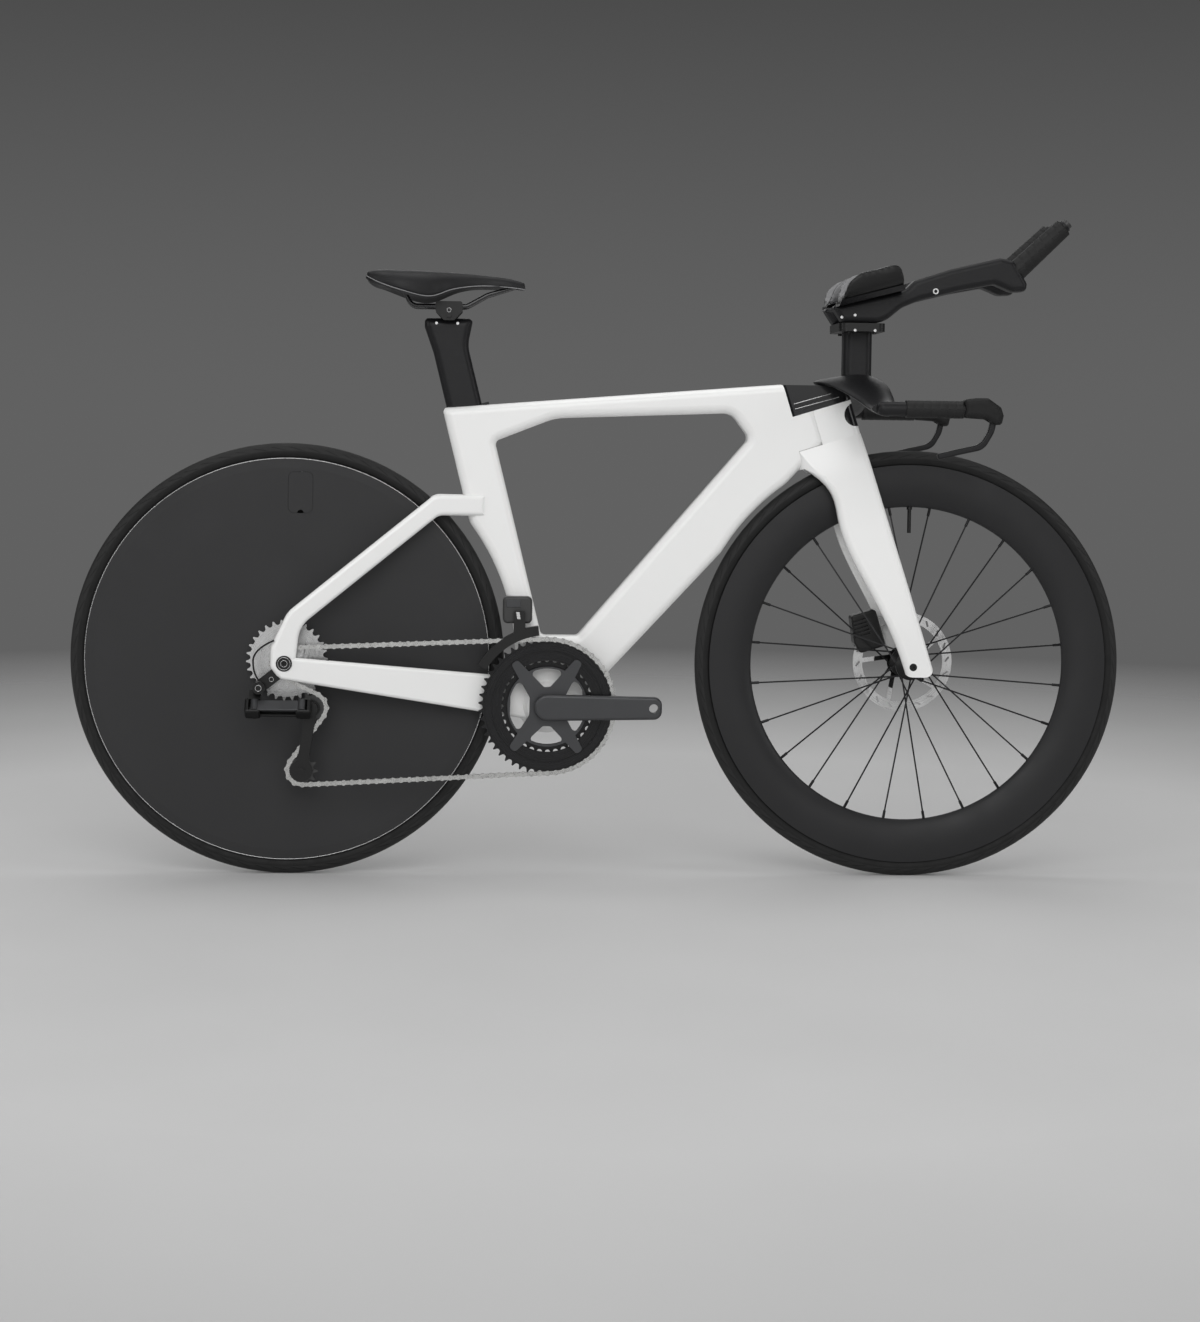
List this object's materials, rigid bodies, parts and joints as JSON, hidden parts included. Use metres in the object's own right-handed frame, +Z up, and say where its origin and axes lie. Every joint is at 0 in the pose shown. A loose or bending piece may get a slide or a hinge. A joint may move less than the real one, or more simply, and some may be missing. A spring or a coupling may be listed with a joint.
{
  "type": "time trial bike",
  "caption": "Time trial bicycle with deep-section frame, disc rear wheel, deep front wheel, disc brakes, base bar with levers, arm rests and angled extensions; steers, spins, shifts and brakes.",
  "frame": {"origin": "on the ground, midway between the two wheel axles, in the bike's middle plane", "axes": "+X forward, +Y to the rider's left, +Z up"},
  "size_m": [1.658, 0.44, 1.0428],
  "materials": {
    "white_paint": "gloss",
    "carbon": "matte",
    "disc_carbon": "matte",
    "black_alloy": "satin",
    "crank_grey": "satin",
    "silver": "satin",
    "tyre_black": "matte",
    "rubber": "matte",
    "foam": "matte",
    "saddle_black": "satin",
    "plastic": "satin"
  },
  "bodies": {
    "frame": {"front_triangle": "white_paint", "right_stays": "white_paint", "left_stays": "white_paint", "frame_bearings": "silver", "rear_axle": "black_alloy", "derailleur_mount": "black_alloy", "front_derailleur_body": "plastic", "rear_brake_caliper": "black_alloy", "seatpost_wedge": "black_alloy", "derailleur_wire": "rubber", "chain": "silver"},
    "seat": {"seatpost": "carbon", "shift_battery": "plastic", "saddle_clamp": "black_alloy", "saddle_rails": "carbon", "saddle_shell": "plastic", "saddle_cover": "saddle_black"},
    "crankset": {"cranks": "crank_grey", "big_chainring": "black_alloy", "small_chainring": "black_alloy", "chainring_bolts": "black_alloy"},
    "cassette": {"cassette_cogs": "silver", "freehub_body": "black_alloy"},
    "rear_wheel": {"rear_tyre": "tyre_black", "disc_right_shell": "disc_carbon", "disc_left_shell": "disc_carbon", "rear_hub": "black_alloy", "rear_rotor": "silver", "rear_valve": "silver"},
    "hatch": {"valve_cover": "disc_carbon"},
    "front_wheel": {"front_tyre": "tyre_black", "front_rim": "carbon", "front_spokes": "black_alloy", "front_hub": "black_alloy", "front_rotor": "silver", "front_valve": "black_alloy"},
    "steering": {"fork": "white_paint", "nose_cap": "plastic", "front_axle": "black_alloy", "stem": "carbon", "base_bar": "carbon", "riser_post": "carbon", "extension_bracket": "black_alloy", "extensions": "carbon", "arm_cups": "carbon", "arm_pads": "foam", "grips": "rubber", "brake_hoods": "rubber", "front_brake_caliper": "black_alloy"},
    "right_lever": {"right_brake_lever": "carbon"},
    "left_lever": {"left_brake_lever": "carbon"},
    "right_button": {"right_shift_button": "plastic"},
    "left_button": {"left_shift_button": "plastic"},
    "outer_arm": {"outer_link": "black_alloy"},
    "inner_arm": {"inner_link": "black_alloy"},
    "knuckle": {"lower_knuckle": "black_alloy"},
    "cage": {"rear_cage": "black_alloy"},
    "upper_wheel": {"guide_pulley": "plastic"},
    "lower_wheel": {"tension_pulley": "plastic"},
    "front_cage": {"front_derailleur_cage": "silver"}
  },
  "joints": [
    {"name": "steering_turn", "type": "hinge", "parent": "frame", "child": "steering", "pos_m": [0.44704, 0, 0.32562], "axis": [-0.2974, 0, 0.9548], "range_deg": [-40, 40]},
    {"name": "front_wheel_spin", "type": "hinge", "parent": "steering", "child": "front_wheel", "pos_m": [0.49, 0, 0.339], "axis": [0, 1, 0], "continuous": true},
    {"name": "rear_wheel_spin", "type": "hinge", "parent": "frame", "child": "rear_wheel", "pos_m": [-0.49, 0, 0.339], "axis": [0, 1, 0], "continuous": true},
    {"name": "hatch_pull", "type": "slide", "parent": "rear_wheel", "child": "hatch", "axis": [0, -1, 0], "range_m": [0, 0.02]},
    {"name": "crank_spin", "type": "hinge", "parent": "frame", "child": "crankset", "pos_m": [-0.08298, 0, 0.272], "axis": [0, 1, 0], "continuous": true, "deforming": ["chain"]},
    {"name": "cassette_spin", "type": "hinge", "parent": "frame", "child": "cassette", "pos_m": [-0.49, 0, 0.339], "axis": [0, 1, 0], "continuous": true},
    {"name": "derailleur_shift", "type": "hinge", "parent": "frame", "child": "outer_arm", "pos_m": [-0.534, -0.0943, 0.27492], "axis": [0, 0.6157, 0.788], "range_deg": [0, 40]},
    {"name": "inner_arm_swing", "type": "hinge", "parent": "frame", "child": "inner_arm", "pos_m": [-0.534, -0.0817, 0.26508], "axis": [0, 0.6157, 0.788], "range_deg": [0, 40]},
    {"name": "knuckle_swing", "type": "hinge", "parent": "outer_arm", "child": "knuckle", "pos_m": [-0.462, -0.0943, 0.27492], "axis": [0, 0.6157, 0.788], "range_deg": [-40, 0]},
    {"name": "cage_pivot", "type": "hinge", "parent": "knuckle", "child": "cage", "pos_m": [-0.448, -0.064, 0.26916], "axis": [0, 1, 0], "range_deg": [-45, 12], "stiffness_Nm_per_rad": 0.6},
    {"name": "guide_pulley_spin", "type": "hinge", "parent": "cage", "child": "upper_wheel", "pos_m": [-0.448, -0.064, 0.26916], "axis": [0, 1, 0], "continuous": true},
    {"name": "tension_pulley_spin", "type": "hinge", "parent": "cage", "child": "lower_wheel", "pos_m": [-0.4636, -0.064, 0.17167], "axis": [0, 1, 0], "continuous": true},
    {"name": "front_shift", "type": "slide", "parent": "frame", "child": "front_cage", "axis": [0, 1, 0], "range_m": [0, 0.0065]},
    {"name": "right_brake_pull", "type": "hinge", "parent": "steering", "child": "right_lever", "pos_m": [0.57768, -0.205, 0.726], "axis": [0, 1, 0], "range_deg": [0, 22], "stiffness_Nm_per_rad": 1},
    {"name": "left_brake_pull", "type": "hinge", "parent": "steering", "child": "left_lever", "pos_m": [0.57768, 0.205, 0.726], "axis": [0, 1, 0], "range_deg": [0, 22], "stiffness_Nm_per_rad": 1},
    {"name": "right_button_press", "type": "slide", "parent": "steering", "child": "right_button", "axis": [-0.7254, 0, -0.6884], "range_m": [0, 0.0015], "stiffness_N_per_m": 900},
    {"name": "left_button_press", "type": "slide", "parent": "steering", "child": "left_button", "axis": [-0.7254, 0, -0.6884], "range_m": [0, 0.0015], "stiffness_N_per_m": 900},
    {"name": "seatpost_slide", "type": "slide", "parent": "frame", "child": "seat", "axis": [-0.2419, 0, 0.9703], "range_m": [-0.03, 0.05]}
  ],
  "couplings": [
    {"joint": "cassette_spin", "follows": "crank_spin", "ratio": 4.7273},
    {"joint": "guide_pulley_spin", "follows": "crank_spin", "ratio": -4.7273},
    {"joint": "tension_pulley_spin", "follows": "crank_spin", "ratio": 4.7273},
    {"joint": "inner_arm_swing", "follows": "derailleur_shift", "ratio": 1},
    {"joint": "knuckle_swing", "follows": "derailleur_shift", "ratio": -1}
  ]
}
